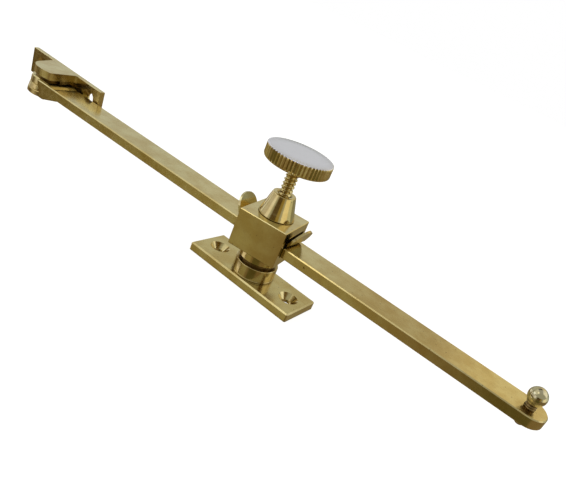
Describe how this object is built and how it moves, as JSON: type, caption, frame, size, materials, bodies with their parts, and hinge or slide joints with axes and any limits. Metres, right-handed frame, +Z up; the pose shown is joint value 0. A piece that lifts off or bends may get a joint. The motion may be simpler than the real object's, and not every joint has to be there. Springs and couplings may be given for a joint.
{
  "type": "sliding screw-down casement window stay",
  "caption": "Flat window stay bar sliding through a swivelling block on a screw-down base, clamped by a knurled thumb screw, with a pivoting frame bracket at one end.",
  "frame": {"origin": "middle of the base plate's underside, on the swivel axis", "axes": "+X along the base plate and the bracket plate, towards the stop screw's end (the bar lies 2.2 degrees off it at rest), +Z up the swivel axis out of the base plate, +Y towards the bracket plate's side of the bar"},
  "size_m": [0.2717, 0.0251, 0.0544],
  "materials": {
    "polished_brass": "polished",
    "bright_brass": "bright polished",
    "dark_brass": "dull, unpolished"
  },
  "bodies": {
    "base": {"base_plate": "polished_brass", "base_collar": "polished_brass", "swivel_washer": "dark_brass", "swivel_pin": "dark_brass"},
    "block": {"slide_block": "polished_brass", "screw_neck": "polished_brass"},
    "clamp_plate": {"pressure_plate": "polished_brass"},
    "clamp_screw": {"thumb_screw": "polished_brass", "thumb_knob": "bright_brass"},
    "stay_bar": {"bar": "polished_brass", "bar_eye": "polished_brass", "pivot_washer": "dark_brass", "stop_screw": "bright_brass"},
    "frame_bracket": {"bracket": "polished_brass", "pivot_pin": "polished_brass"}
  },
  "joints": [
    {"name": "block_swivel", "type": "hinge", "parent": "base", "child": "block", "pos_m": [0, 0, 0.01], "axis": [0, 0, 1], "continuous": true},
    {"name": "bar_slide", "type": "slide", "parent": "block", "child": "stay_bar", "axis": [0.9993, 0.0384, 0], "range_m": [-0.089, 0.0955]},
    {"name": "bracket_pivot", "type": "hinge", "parent": "stay_bar", "child": "frame_bracket", "pos_m": [-0.1329, -0.00511, 0.0227], "axis": [0, 0, 1], "range_deg": [0, 184]},
    {"name": "clamp_lift", "type": "slide", "parent": "block", "child": "clamp_plate", "axis": [0, 0, 1], "range_m": [-0.0002, 0.0012]},
    {"name": "thumb_screw_turn", "type": "hinge", "parent": "clamp_plate", "child": "clamp_screw", "pos_m": [0, 0, 0.05], "axis": [0, 0, 1], "range_deg": [-48.5, 288.6]}
  ],
  "couplings": [
    {"joint": "thumb_screw_turn", "follows": "clamp_lift", "rad_per_m": 4188.8}
  ]
}
